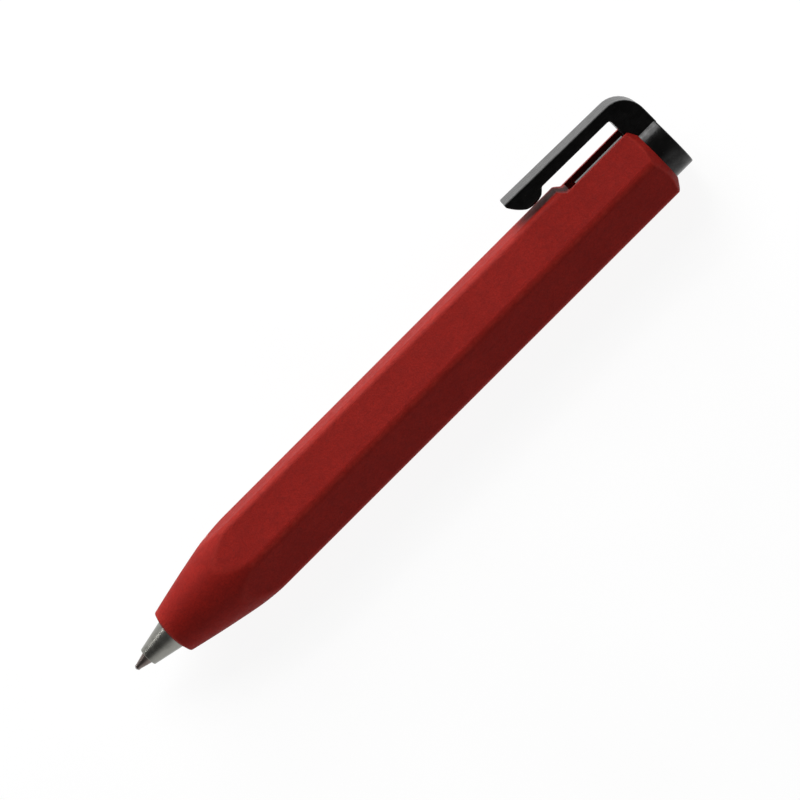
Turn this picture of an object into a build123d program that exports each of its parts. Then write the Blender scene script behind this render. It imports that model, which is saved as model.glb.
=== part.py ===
from build123d import *
from math import cos, pi, radians, sin, tan
import os

os.makedirs("parts", exist_ok=True)

# A retractable ballpoint pen that lies along X on one flat of its hexagonal barrel, tip towards -X.
# The origin is on that flat, under the pen's axis, half way along the pen. Everything is in millimetres.
# A station is a distance along the axis from the writing tip. A radius is measured from the axis.
# The tip is out and the button is latched. Letting go moves the tip and the button 5 mm back.
# The latched button can still be pressed 1.2 mm further in.

# ---- Driving dimensions ----
PEN_LENGTH = 105.0
ACROSS_FLATS = 12.1
FLATS = 6
RUNNING_GAP = 0.08  # radial, between pieces that slide or turn on each other
SEAT_GAP = 0.02  # radial, between pieces that are pressed or glued together

# ---- Barrel ----
BARREL_FRONT = 7.05
BARREL_TOP = 101.78
LONG_EDGE_ROUND = 1.45
NOSE_LIP_STATION = 7.5
NOSE_LIP_RADIUS = 3.66
NOSE_MIDDLE_STATION = 14.4
NOSE_MIDDLE_RADIUS = 5.2
NOSE_END_STATION = 24.5
NOSE_END_RADIUS = 7.05
NOSE_EDGE_ROUND = 1.5
TOP_EDGES_START = 99.5
TOP_EDGE_ROUND = 0.4
TOP_CHAMFER_RADIUS = 4.9
TOP_CHAMFER_ANGLE = 35.0  # from the end plane
RECESS_START = 88.5
RECESS_DEPTH = 0.95
SLOT_START = 90.0
SLOT_WIDTH = 6.2
THREAD_BORE_RADIUS = 2.75
THREAD_BORE_END = 15.0
SPRING_BORE_RADIUS = 2.1
SPRING_BORE_END = 30.0
REFILL_BORE_RADIUS = 3.0
MECHANISM_BORE_RADIUS = 4.8
MECHANISM_BORE_START = 70.5

# ---- Metal nose cone and the threaded bush that it screws into ----
NOSE_FRONT = 2.42
NOSE_FRONT_RADIUS = 1.41
NOSE_BASE_RADIUS = 2.4
NOSE_BORE_RADIUS = 1.12
NOSE_SHOULDER = 5.6  # where the spring stands
NOSE_SPRING_BORE_RADIUS = 1.8
NOSE_SHANK_END = 14.2
BUSH_BORE_RADIUS = 2.28
THREAD_DEPTH = 0.14
THREAD_PITCH = 0.5
THREAD_START = 9.0
THREAD_TURNS = 9
BUSH_START = 8.4
BUSH_GROOVES = 3

# ---- Refill ----
BALL_RADIUS = 0.35
BALL_SHOWING = 0.2
BALL_LIP_RADIUS = 0.42
BALL_GAP = 0.012
TIP_CONE_RADIUS = 1.0
TIP_CONE_END = 2.6
TIP_STEP_END = 9.0
TIP_END = 12.0
TIP_STEP_RADIUS = 1.05
TIP_INK_BORE_RADIUS = 0.3
TIP_FEED_RADIUS = 0.15
REFILL_RADIUS = 1.175
REFILL_WALL = 0.2
REFILL_START = 9.0
REFILL_END = 67.0
EAR_STATION = 22.6
EAR_LENGTH = 0.7
EAR_REACH = 1.72
EAR_WIDTH = 0.6
INK_END = 48.0
GREASE_END = 51.0

# ---- Return spring ----
WIRE_RADIUS = 0.16
COIL_RADIUS = 1.5
SPRING_TURNS = 13

# ---- Click mechanism ----
GROOVES = 4
GROOVE_DEPTH_RADIUS = 3.75
RIB_RADIUS = 2.95
GROOVE_ANGLE = 34.0
RIB_START = 79.0
SLEEVE_START = 71.0
SLEEVE_END = 89.6
COLLAR_START = 89.05
FIN_ANGLE = 28.0
ROTOR_STEM_RADIUS = 2.0
ROTOR_STEM_START = 63.0
ROTOR_START = 72.0
ROTOR_END = 77.9
ROTOR_FIN_START = 75.2
SOCKET_GAP = 0.05
PILOT_RADIUS = 1.3
PILOT_END = 81.6
TOOTH_HEIGHT = 0.7
TOOTH_WIDTH = 2.1
TOOTH_GAP = 0.12
PLUNGER_LUG_START = 80.2
PLUNGER_LUG_END = 84.0
PLUNGER_END = 97.8
PLUNGER_NECK_RADIUS = 2.3
PILOT_BORE_END = 83.2

# ---- Button and clip ----
BUTTON_RADIUS = 4.72
BUTTON_START = 91.2
BUTTON_EDGE_ROUND = 0.25
BUTTON_DOME = 0.1
BUTTON_BOSS_RADIUS = 3.2
BUTTON_SKIRT_INNER_RADIUS = 3.9
BUTTON_CORE_END = 98.6
CLIP_WIDTH = 6.0
CLIP_THICKNESS = 1.61
CLIP_OUTER_TOP = 9.5  # height of the outer face above the axis, at the arm
CLIP_OUTER_END = 9.96  # the same, at the free end
CLIP_END = 82.1
CLIP_ARM_START = 100.54
CLIP_CORNER_ROUND = 3.7
ARM_FOOT = 3.1
CLIP_LIP = 0.5  # thickness of the clip's free end
BALL_LOW = 6.5
BALL_LOW_STATION = 85.3
BALL_SIDE_STATION = 83.35
BALL_SIDE_HEIGHT = 7.8
BALL_BACK_SIDE_STATION = 86.95
BALL_BACK_SIDE_HEIGHT = 7.4
BALL_BACK_STATION = 87.6
BALL_BACK_HEIGHT = 8.05
BALL_CROWN_RADIUS = 8.2
BALL_CROWN_LOW = 6.65
BALL_CROWN_TOP = 8.0
NOTCH_GAP = 0.1
NOTCH_FLOOR = 2.8
NOTCH_START = 100.25
BEAD_RADIUS = 1.2
BEAD_LENGTH = 4.4
HINGE_STATION = 102.6
HINGE_HEIGHT = 1.7
NECK_THICKNESS = 1.5
NECK_SWING_GAP = 0.3

# ---- Values that follow from them ----
AXIS_HEIGHT = ACROSS_FLATS / 2
FACE_HEIGHT = ACROSS_FLATS / 2
RECESS_FLOOR = FACE_HEIGHT - RECESS_DEPTH
TIP_X = -PEN_LENGTH / 2
AXIS_START = (TIP_X, 0, AXIS_HEIGHT)
PEN_AXIS = Axis(AXIS_START, (1, 0, 0))
CLIP_FACE_ANGLE = 60.0  # the clip's face is the next flat but one from the rest flat, towards +Y

# Lengthways planes: local x is the station, and local y the height above the axis.
ALONG = Plane(origin=AXIS_START, x_dir=(1, 0, 0), z_dir=(0, -1, 0))
CLIP_SIDE = ALONG.rotated((-CLIP_FACE_ANGLE, 0, 0))
BEYOND = 2 * FACE_HEIGHT  # clear of the barrel, for cutting shapes
PAST_TOP = PEN_LENGTH + NOTCH_GAP  # clear of the button's top, for cutting shapes


def across(station):
    """The plane across the pen at a station, facing the button."""
    return Plane(origin=(TIP_X + station, 0, AXIS_HEIGHT), x_dir=(0, 1, 0), z_dir=(1, 0, 0))


def across_clip(station):
    """The same plane, turned so that local y runs out through the middle of the clip's face."""
    turn = radians(CLIP_FACE_ANGLE)
    return Plane(origin=(TIP_X + station, 0, AXIS_HEIGHT), x_dir=(0, cos(turn), -sin(turn)), z_dir=(1, 0, 0))


def outline(*points, plane=ALONG):
    """A closed straight-sided outline of (station, height) points."""
    with BuildSketch(plane) as shape:
        with BuildLine():
            Polyline(*points, close=True)
        make_face()
    return shape.sketch


def step(start, end, radius):
    """The outline of a cylinder about the axis, for a revolve."""
    return outline((start, 0), (end, 0), (end, radius), (start, radius))


def ring(start, end, inner, outer):
    """The outline of a tube about the axis, for a revolve."""
    return outline((start, inner), (end, inner), (end, outer), (start, outer))


def sector(station, radius, angle, turn=0.0):
    """A pie slice across the pen, with its middle turned from +Y towards +Z."""
    half = radians(angle / 2)
    with BuildSketch(across(station)) as shape:
        with BuildLine():
            first = (radius * cos(half), -radius * sin(half))
            last = (radius * cos(half), radius * sin(half))
            Line((0, 0), first)
            ThreePointArc(first, (radius, 0), last)
            Line(last, (0, 0))
        make_face()
    return shape.sketch.rotate(PEN_AXIS, turn)


def edges_between(piece, start, end):
    """The edges of a piece whose middles lie between two stations."""
    return piece.edges().filter_by_position(Axis.X, TIP_X + start, TIP_X + end)


# ---- Barrel: a hexagonal prism with a turned nose and a turned top edge ----
with BuildPart() as barrel:
    with BuildSketch(across(BARREL_FRONT)):
        RegularPolygon(FACE_HEIGHT, FLATS, major_radius=False)
    extrude(amount=BARREL_TOP - BARREL_FRONT)
    fillet(barrel.edges().filter_by(Axis.X), LONG_EDGE_ROUND)
    chamfer_drop = (NOSE_END_RADIUS - TOP_CHAMFER_RADIUS) * tan(radians(TOP_CHAMFER_ANGLE))
    with BuildSketch(ALONG):
        with BuildLine():
            Line((BARREL_FRONT, 0), (BARREL_FRONT, NOSE_BASE_RADIUS))
            Line((BARREL_FRONT, NOSE_BASE_RADIUS), (NOSE_LIP_STATION, NOSE_LIP_RADIUS))
            ThreePointArc(
                (NOSE_LIP_STATION, NOSE_LIP_RADIUS),
                (NOSE_MIDDLE_STATION, NOSE_MIDDLE_RADIUS),
                (NOSE_END_STATION, NOSE_END_RADIUS),
            )
            Line((NOSE_END_STATION, NOSE_END_RADIUS), (BARREL_TOP - chamfer_drop, NOSE_END_RADIUS))
            Line((BARREL_TOP - chamfer_drop, NOSE_END_RADIUS), (BARREL_TOP, TOP_CHAMFER_RADIUS))
            Line((BARREL_TOP, TOP_CHAMFER_RADIUS), (BARREL_TOP, 0))
            Line((BARREL_TOP, 0), (BARREL_FRONT, 0))
        make_face()
    revolve(axis=PEN_AXIS, mode=Mode.INTERSECT)
    fillet(edges_between(barrel, TOP_EDGES_START, BARREL_TOP - SEAT_GAP), TOP_EDGE_ROUND)
    fillet(edges_between(barrel, NOSE_MIDDLE_STATION, NOSE_END_STATION), NOSE_EDGE_ROUND)
    # Bores: thread bush, return spring, refill, mechanism
    bores = [
        step(BARREL_FRONT, BUSH_START, NOSE_BASE_RADIUS + RUNNING_GAP),
        step(BUSH_START, THREAD_BORE_END, THREAD_BORE_RADIUS),
        step(THREAD_BORE_END, SPRING_BORE_END, SPRING_BORE_RADIUS),
        step(SPRING_BORE_END, MECHANISM_BORE_START, REFILL_BORE_RADIUS),
        step(MECHANISM_BORE_START, BARREL_TOP, MECHANISM_BORE_RADIUS),
    ]
    revolve(bores, axis=PEN_AXIS, mode=Mode.SUBTRACT)
    # Recess on the clip's face, with a ramp at its front, and the slot that the clip's arm runs in
    recess = outline(
        (RECESS_START, FACE_HEIGHT),
        (RECESS_START + RECESS_DEPTH, RECESS_FLOOR),
        (PEN_LENGTH, RECESS_FLOOR),
        (PEN_LENGTH, BEYOND),
        (RECESS_START, BEYOND),
        plane=CLIP_SIDE,
    )
    extrude(recess, amount=ACROSS_FLATS, both=True, mode=Mode.SUBTRACT)
    with BuildSketch(across_clip(SLOT_START)):
        with Locations((0, FACE_HEIGHT)):
            Rectangle(SLOT_WIDTH, FACE_HEIGHT)
    extrude(amount=PEN_LENGTH - SLOT_START, mode=Mode.SUBTRACT)
barrel.part.label = "barrel"
export_step(barrel.part, "parts/barrel.step")

# ---- Threaded bush: a brass tube moulded into the barrel's mouth, with grooves that grip the plastic ----
with BuildPart() as nose_bush:
    revolve(ring(BUSH_START, THREAD_BORE_END, BUSH_BORE_RADIUS, THREAD_BORE_RADIUS - SEAT_GAP), axis=PEN_AXIS)
    groove_pitch = (THREAD_BORE_END - BUSH_START) / (BUSH_GROOVES + 1)
    for index in range(BUSH_GROOVES):
        groove = BUSH_START + (index + 1) * groove_pitch
        floor = THREAD_BORE_RADIUS - THREAD_DEPTH
        cut = ring(groove - THREAD_DEPTH, groove + THREAD_DEPTH, floor, FACE_HEIGHT)
        revolve(cut, axis=PEN_AXIS, mode=Mode.SUBTRACT)
nose_bush.part.label = "nose_bush"
export_step(nose_bush.part, "parts/nose_bush.step")

# ---- Nose cone: turned metal, with a threaded shank and a shoulder for the return spring ----
with BuildPart() as nose_cone:
    shank_radius = BUSH_BORE_RADIUS - RUNNING_GAP
    profile = outline(
        (NOSE_FRONT, NOSE_BORE_RADIUS),
        (NOSE_FRONT, NOSE_FRONT_RADIUS),
        (BARREL_FRONT, NOSE_BASE_RADIUS),
        (BUSH_START, NOSE_BASE_RADIUS),
        (BUSH_START, shank_radius),
        (NOSE_SHANK_END, shank_radius),
        (NOSE_SHANK_END, NOSE_SPRING_BORE_RADIUS),
        (NOSE_SHOULDER, NOSE_SPRING_BORE_RADIUS),
        (NOSE_SHOULDER, NOSE_BORE_RADIUS),
    )
    revolve(profile, axis=PEN_AXIS)
    for index in range(THREAD_TURNS):
        root = THREAD_START + index * THREAD_PITCH
        revolve(
            outline(
                (root - THREAD_PITCH / 2, shank_radius + THREAD_DEPTH),
                (root, shank_radius - THREAD_DEPTH),
                (root + THREAD_PITCH / 2, shank_radius + THREAD_DEPTH),
            ),
            axis=PEN_AXIS,
            mode=Mode.SUBTRACT,
        )
nose_cone.part.label = "nose_cone"
export_step(nose_cone.part, "parts/nose_cone.step")

# ---- Writing ball ----
BALL_CENTRE = (TIP_X + BALL_RADIUS, 0, AXIS_HEIGHT)
with BuildPart() as writing_ball:
    with Locations(BALL_CENTRE):
        Sphere(BALL_RADIUS)
writing_ball.part.label = "writing_ball"
export_step(writing_ball.part, "parts/writing_ball.step")

# ---- Refill tip: the turned nickel-silver point that holds the ball ----
with BuildPart() as refill_tip:
    profile = outline(
        (BALL_SHOWING, 0),
        (BALL_SHOWING, BALL_LIP_RADIUS),
        (TIP_CONE_END, TIP_CONE_RADIUS),
        (TIP_CONE_END, TIP_STEP_RADIUS),
        (TIP_STEP_END, TIP_STEP_RADIUS),
        (TIP_STEP_END, REFILL_RADIUS - REFILL_WALL - SEAT_GAP),
        (TIP_END, REFILL_RADIUS - REFILL_WALL - SEAT_GAP),
        (TIP_END, 0),
    )
    revolve(profile, axis=PEN_AXIS)
    with Locations(BALL_CENTRE):
        Sphere(BALL_RADIUS + BALL_GAP, mode=Mode.SUBTRACT)
    revolve(step(BALL_RADIUS, TIP_END, TIP_FEED_RADIUS), axis=PEN_AXIS, mode=Mode.SUBTRACT)
    revolve(step(TIP_CONE_END, TIP_END, TIP_INK_BORE_RADIUS), axis=PEN_AXIS, mode=Mode.SUBTRACT)
refill_tip.part.label = "refill_tip"
export_step(refill_tip.part, "parts/refill_tip.step")

# ---- Refill tube: thin metal, with two ears pressed out of it for the return spring ----
with BuildPart() as refill_tube:
    revolve(ring(REFILL_START, REFILL_END, REFILL_RADIUS - REFILL_WALL, REFILL_RADIUS), axis=PEN_AXIS)
    with BuildSketch(across(EAR_STATION)):
        Rectangle(2 * EAR_REACH, EAR_WIDTH)
        Circle(REFILL_RADIUS - REFILL_WALL / 2, mode=Mode.SUBTRACT)
    extrude(amount=EAR_LENGTH)
refill_tube.part.label = "refill_tube"
export_step(refill_tube.part, "parts/refill_tube.step")

# ---- Ink, and the plug of grease that follows it down the tube ----
INK_RADIUS = REFILL_RADIUS - REFILL_WALL - SEAT_GAP
with BuildPart() as ink_column:
    revolve(step(TIP_END, INK_END, INK_RADIUS), axis=PEN_AXIS)
ink_column.part.label = "ink_column"
export_step(ink_column.part, "parts/ink_column.step")

with BuildPart() as grease_follower:
    revolve(step(INK_END, GREASE_END, INK_RADIUS), axis=PEN_AXIS)
grease_follower.part.label = "grease_follower"
export_step(grease_follower.part, "parts/grease_follower.step")

# ---- Return spring: round wire between the nose cone's shoulder and the refill's ears ----
SPRING_LENGTH = EAR_STATION - NOSE_SHOULDER - 2 * WIRE_RADIUS
SPRING_FRONT = (TIP_X + NOSE_SHOULDER + WIRE_RADIUS, 0, AXIS_HEIGHT)
with BuildPart() as return_spring:
    with BuildLine() as coil:
        pitch = SPRING_LENGTH / SPRING_TURNS
        Helix(pitch, SPRING_LENGTH, COIL_RADIUS, center=SPRING_FRONT, direction=(1, 0, 0))
    with BuildSketch(Plane(origin=coil.line @ 0, z_dir=coil.line % 0)):
        Circle(WIRE_RADIUS)
    sweep()
return_spring.part.label = "return_spring"
export_step(return_spring.part, "parts/return_spring.step")


def groove_cuts(start, end):
    """The guide's grooves, evenly round the axis, as shapes to cut with."""
    cuts = []
    for index in range(GROOVES):
        slice_face = sector(start, GROOVE_DEPTH_RADIUS, GROOVE_ANGLE, turn=index * 360 / GROOVES)
        cuts.append(extrude(slice_face, amount=end - start, mode=Mode.PRIVATE))
    return cuts


def tooth_cuts(crest, root, reach):
    """Slanting notches between the teeth of a ring, from the crests' station to the roots'."""
    radial = Plane(origin=AXIS_START, x_dir=(1, 0, 0), z_dir=(0, 1, 0))
    slant = outline(
        (crest, -TOOTH_WIDTH / 2),
        (crest, TOOTH_WIDTH / 2),
        (root, TOOTH_WIDTH / 2),
        plane=radial,
    )
    notch = extrude(slant, amount=reach, mode=Mode.PRIVATE)
    return [notch.rotate(PEN_AXIS, index * 180 / GROOVES) for index in range(2 * GROOVES)]


# ---- Cam sleeve: fixed in the barrel, with ribs that guide the plunger and stop the rotor's fins ----
with BuildPart() as cam_sleeve:
    revolve(ring(SLEEVE_START, SLEEVE_END, RIB_RADIUS, MECHANISM_BORE_RADIUS - SEAT_GAP), axis=PEN_AXIS)
    revolve(step(SLEEVE_START, RIB_START, GROOVE_DEPTH_RADIUS), axis=PEN_AXIS, mode=Mode.SUBTRACT)
    add(groove_cuts(RIB_START, COLLAR_START), mode=Mode.SUBTRACT)
    add(tooth_cuts(RIB_START, RIB_START + TOOTH_HEIGHT, GROOVE_DEPTH_RADIUS), mode=Mode.SUBTRACT)
cam_sleeve.part.label = "cam_sleeve"
export_step(cam_sleeve.part, "parts/cam_sleeve.step")

# ---- Cam rotor: fins that index round the sleeve's ribs, a toothed rear face, a socket for the refill ----
SLIDER_RADIUS = RIB_RADIUS - RUNNING_GAP
FIN_RADIUS = GROOVE_DEPTH_RADIUS - RUNNING_GAP
with BuildPart() as cam_rotor:
    revolve(step(ROTOR_STEM_START, ROTOR_START, ROTOR_STEM_RADIUS), axis=PEN_AXIS)
    revolve(step(ROTOR_START, ROTOR_END, SLIDER_RADIUS), axis=PEN_AXIS)
    for index in range(GROOVES):
        fin = sector(ROTOR_FIN_START, FIN_RADIUS, FIN_ANGLE, turn=index * 360 / GROOVES)
        extrude(fin, amount=ROTOR_END - ROTOR_FIN_START)
    add(tooth_cuts(ROTOR_END, ROTOR_END - TOOTH_HEIGHT, GROOVE_DEPTH_RADIUS), mode=Mode.SUBTRACT)
    revolve(step(ROTOR_START, PILOT_END, PILOT_RADIUS), axis=PEN_AXIS)
    socket = step(ROTOR_STEM_START, REFILL_END + SOCKET_GAP, REFILL_RADIUS + SOCKET_GAP)
    revolve(socket, axis=PEN_AXIS, mode=Mode.SUBTRACT)
cam_rotor.part.label = "cam_rotor"
export_step(cam_rotor.part, "parts/cam_rotor.step")

# ---- Plunger: toothed crown, lugs that keep it straight in the grooves, neck pressed into the button ----
CROWN_START = ROTOR_END + TOOTH_GAP
with BuildPart() as plunger:
    revolve(step(CROWN_START, BUTTON_START - SEAT_GAP, SLIDER_RADIUS), axis=PEN_AXIS)
    revolve(step(BUTTON_START - SEAT_GAP, PLUNGER_END, PLUNGER_NECK_RADIUS - SEAT_GAP), axis=PEN_AXIS)
    for index in range(GROOVES):
        lug = sector(PLUNGER_LUG_START, FIN_RADIUS, FIN_ANGLE, turn=index * 360 / GROOVES)
        extrude(lug, amount=PLUNGER_LUG_END - PLUNGER_LUG_START)
    add(tooth_cuts(CROWN_START, CROWN_START + TOOTH_HEIGHT, SLIDER_RADIUS), mode=Mode.SUBTRACT)
    pilot_bore = step(CROWN_START, PILOT_BORE_END, PILOT_RADIUS + RUNNING_GAP)
    revolve(pilot_bore, axis=PEN_AXIS, mode=Mode.SUBTRACT)
plunger.part.label = "plunger"
export_step(plunger.part, "parts/plunger.step")

# ---- Button: a cap that slides in the barrel, cored out round the boss that holds the plunger ----
with BuildPart() as button:
    with BuildSketch(ALONG):
        with BuildLine():
            edge_start = PEN_LENGTH - BUTTON_DOME - BUTTON_EDGE_ROUND
            round_radius = BUTTON_RADIUS - BUTTON_EDGE_ROUND
            round_reach = BUTTON_EDGE_ROUND * sin(pi / 4)
            Line((BUTTON_START, 0), (BUTTON_START, BUTTON_RADIUS))
            Line((BUTTON_START, BUTTON_RADIUS), (edge_start, BUTTON_RADIUS))
            ThreePointArc(
                (edge_start, BUTTON_RADIUS),
                (edge_start + round_reach, round_radius + round_reach),
                (edge_start + BUTTON_EDGE_ROUND, round_radius),
            )
            ThreePointArc(
                (edge_start + BUTTON_EDGE_ROUND, round_radius),
                (PEN_LENGTH - BUTTON_DOME / 4, round_radius / 2),
                (PEN_LENGTH, 0),
            )
            Line((PEN_LENGTH, 0), (BUTTON_START, 0))
        make_face()
    revolve(axis=PEN_AXIS)
    revolve(
        ring(BUTTON_START, BUTTON_CORE_END, BUTTON_BOSS_RADIUS, BUTTON_SKIRT_INNER_RADIUS),
        axis=PEN_AXIS,
        mode=Mode.SUBTRACT,
    )
    neck_socket = step(BUTTON_START, PLUNGER_END + SEAT_GAP, PLUNGER_NECK_RADIUS)
    revolve(neck_socket, axis=PEN_AXIS, mode=Mode.SUBTRACT)
    # Notch for the clip's arm, and the socket that its bead snaps into
    notch = outline(
        (NOTCH_START, NOTCH_FLOOR),
        (NOTCH_START, BEYOND),
        (PAST_TOP, BEYOND),
        (PAST_TOP, NOTCH_FLOOR),
        plane=CLIP_SIDE,
    )
    extrude(notch, amount=CLIP_WIDTH / 2 + NOTCH_GAP, both=True, mode=Mode.SUBTRACT)
    with BuildSketch(CLIP_SIDE):
        with Locations((HINGE_STATION, HINGE_HEIGHT)):
            Circle(BEAD_RADIUS + RUNNING_GAP)
        with Locations((HINGE_STATION, (HINGE_HEIGHT + NOTCH_FLOOR) / 2)):
            Rectangle(NECK_THICKNESS + 2 * NECK_SWING_GAP, NOTCH_FLOOR - HINGE_HEIGHT)
    extrude(amount=BEAD_LENGTH / 2 + NOTCH_GAP, both=True, mode=Mode.SUBTRACT)
button.part.label = "button"
export_step(button.part, "parts/button.step")

# ---- Clip: an arm, a flat strip along the barrel and a ball that grips, in one moulding ----
with BuildPart() as clip:
    with BuildSketch(CLIP_SIDE):
        with BuildLine():
            corner = CLIP_CORNER_ROUND * (1 - sin(pi / 4))
            inner = CLIP_OUTER_TOP - CLIP_THICKNESS
            Line((CLIP_ARM_START, ARM_FOOT), (PEN_LENGTH, ARM_FOOT))
            Line((PEN_LENGTH, ARM_FOOT), (PEN_LENGTH, CLIP_OUTER_TOP - CLIP_CORNER_ROUND))
            ThreePointArc(
                (PEN_LENGTH, CLIP_OUTER_TOP - CLIP_CORNER_ROUND),
                (PEN_LENGTH - corner, CLIP_OUTER_TOP - corner),
                (PEN_LENGTH - CLIP_CORNER_ROUND, CLIP_OUTER_TOP),
            )
            Line((PEN_LENGTH - CLIP_CORNER_ROUND, CLIP_OUTER_TOP), (CLIP_END, CLIP_OUTER_END))
            Line((CLIP_END, CLIP_OUTER_END), (CLIP_END, CLIP_OUTER_END - CLIP_LIP))
            ThreePointArc(
                (CLIP_END, CLIP_OUTER_END - CLIP_LIP),
                (BALL_SIDE_STATION, BALL_SIDE_HEIGHT),
                (BALL_LOW_STATION, BALL_LOW),
            )
            ThreePointArc(
                (BALL_LOW_STATION, BALL_LOW),
                (BALL_BACK_SIDE_STATION, BALL_BACK_SIDE_HEIGHT),
                (BALL_BACK_STATION, BALL_BACK_HEIGHT),
            )
            Line((BALL_BACK_STATION, BALL_BACK_HEIGHT), (CLIP_ARM_START, inner))
            Line((CLIP_ARM_START, inner), (CLIP_ARM_START, ARM_FOOT))
        make_face()
    extrude(amount=CLIP_WIDTH / 2, both=True)
    # The ball's underside is crowned across the clip
    with BuildSketch(across_clip(CLIP_END)):
        with Locations((0, FACE_HEIGHT)):
            Rectangle(2 * CLIP_WIDTH, 2 * (BALL_CROWN_TOP - FACE_HEIGHT))
        with Locations((0, BALL_CROWN_LOW + BALL_CROWN_RADIUS)):
            Circle(BALL_CROWN_RADIUS, mode=Mode.SUBTRACT)
    extrude(amount=BALL_BACK_STATION - CLIP_END, mode=Mode.SUBTRACT)
    # Bead and neck at the foot of the arm
    with BuildSketch(CLIP_SIDE):
        with Locations((HINGE_STATION, HINGE_HEIGHT)):
            Circle(BEAD_RADIUS)
        with Locations((HINGE_STATION, (HINGE_HEIGHT + ARM_FOOT) / 2)):
            Rectangle(NECK_THICKNESS, ARM_FOOT - HINGE_HEIGHT)
    extrude(amount=BEAD_LENGTH / 2, both=True)
clip.part.label = "clip"
export_step(clip.part, "parts/clip.step")
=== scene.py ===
from math import atan, atan2, ceil, cos, exp, hypot, pi, radians, sin, sqrt, tan

import bmesh
import bpy
from mathutils import Matrix, Vector


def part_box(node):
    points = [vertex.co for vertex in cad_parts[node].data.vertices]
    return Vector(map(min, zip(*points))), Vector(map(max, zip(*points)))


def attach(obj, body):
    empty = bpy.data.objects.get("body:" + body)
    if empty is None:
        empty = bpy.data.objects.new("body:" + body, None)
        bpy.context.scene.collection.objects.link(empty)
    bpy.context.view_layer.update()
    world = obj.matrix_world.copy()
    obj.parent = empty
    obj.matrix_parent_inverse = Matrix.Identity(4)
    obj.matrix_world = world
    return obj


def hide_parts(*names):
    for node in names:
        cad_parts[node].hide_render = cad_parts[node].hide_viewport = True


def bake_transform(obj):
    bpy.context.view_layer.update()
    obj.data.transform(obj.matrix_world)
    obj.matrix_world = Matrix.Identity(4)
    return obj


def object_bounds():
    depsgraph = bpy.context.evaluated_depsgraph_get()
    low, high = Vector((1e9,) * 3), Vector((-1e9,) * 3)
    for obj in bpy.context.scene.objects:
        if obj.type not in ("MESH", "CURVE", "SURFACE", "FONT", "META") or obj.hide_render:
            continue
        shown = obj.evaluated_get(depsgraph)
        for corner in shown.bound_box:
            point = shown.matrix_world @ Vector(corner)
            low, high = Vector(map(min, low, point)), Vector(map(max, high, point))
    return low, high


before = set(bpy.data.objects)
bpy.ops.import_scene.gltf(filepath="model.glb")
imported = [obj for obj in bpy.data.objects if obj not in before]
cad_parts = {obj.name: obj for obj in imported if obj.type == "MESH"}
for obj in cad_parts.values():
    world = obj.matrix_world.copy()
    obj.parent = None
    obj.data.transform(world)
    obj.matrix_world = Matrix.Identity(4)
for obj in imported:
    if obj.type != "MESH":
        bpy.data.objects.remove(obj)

CAD_LOW, CAD_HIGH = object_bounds()

# A retractable ballpoint pen that lies along X on one flat of its barrel, with its tip towards -X.
# Meshes are worked out in millimetres. A station is a distance along the axis from the writing tip, a radius
# is measured from the axis, and an angle round the axis turns from +Y towards +Z.
MM = 0.001

# ---- Places that come from the frame ----
barrel_low, barrel_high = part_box("barrel")
AXIS_Z = (barrel_low.z + barrel_high.z) / 2
TIP_X = CAD_LOW.x
PEN_LENGTH = (CAD_HIGH.x - CAD_LOW.x) / MM
FACE_HEIGHT = (barrel_high.z - barrel_low.z) / 2 / MM


def reach(node):
    """The stations where a CAD node starts and ends."""
    low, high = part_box(node)
    return (low.x - TIP_X) / MM, (high.x - TIP_X) / MM


def radius_of(node):
    """Half the width of a CAD node across the pen."""
    low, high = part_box(node)
    return (high.y - low.y) / 2 / MM


BARREL_FRONT, BARREL_TOP = reach("barrel")
NOSE_FRONT, NOSE_SHANK_END = reach("nose_cone")
NOSE_BASE_RADIUS = radius_of("nose_cone")
TIP_START, TIP_END = reach("refill_tip")
TIP_STEP_RADIUS = radius_of("refill_tip")
SPRING_START, SPRING_END = reach("return_spring")
BUTTON_START, BUTTON_END = reach("button")
BUTTON_RADIUS = radius_of("button")
CLIP_START, CLIP_END = reach("clip")

# ---- Barrel ----
LONG_EDGE_ROUND = 1.46  # slightly rounder than the CAD, which keeps this body inside its box
NOSE_ARC = ((7.5, 3.66), (14.4, 5.2), (24.5, 7.05))  # the turned nose
NOSE_BLEND = 0.22
LIP_ROUND = 0.3
TOP_CHAMFER_RADIUS = 4.9
TOP_CHAMFER_ANGLE = 35.0
TOP_BLEND = 0.22
RECESS_START = 88.5
RECESS_FLOOR = 5.1
RECESS_BLEND = 0.1
RECESS_REACH = 0.3  # the cosine of the widest angle from the clip's face at which the recess is looked for
SLOT_START = 90.0
SLOT_WIDTH = 6.2
MOUTH_RADIUS = NOSE_BASE_RADIUS + 0.08
MECHANISM_BORE_RADIUS = 4.8
BORES = (  # the stations of the steps inside the barrel, from its top, and the radii on either side of each
    (70.5, MECHANISM_BORE_RADIUS, 3.0),
    (30.0, 3.0, 2.1),
    (15.0, 2.1, 2.75),
    (8.4, 2.75, MOUTH_RADIUS),
)
SLOT_CUT_HEIGHT = 9.0  # anywhere above the barrel's face
NOSE_END = 26.0  # past here the outside is a plain hexagon, as far as the recess
CORNER_WEAR = radians(3.2)  # the half width of the wear along the long edges

# ---- Metal point ----
NOSE_FRONT_RADIUS = 1.41
NOSE_BORE_RADIUS = 1.12
NOSE_SHOULDER = 5.6
NOSE_SPRING_BORE_RADIUS = 1.8
NOSE_SHANK_START = 8.4
NOSE_SHANK_RADIUS = 2.2
THREAD_START = 9.0
THREAD_END = 13.6
THREAD_PITCH = 0.5
THREAD_DEPTH = 0.14
THREAD_STEPS = 12  # rings in each turn of the thread
TIP_CONE_RADIUS = 1.0
TIP_CONE_END = 2.6
TIP_LIP_RADIUS = 0.42
TIP_STEP_END = 9.0
TIP_TAIL_RADIUS = 0.955

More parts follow.
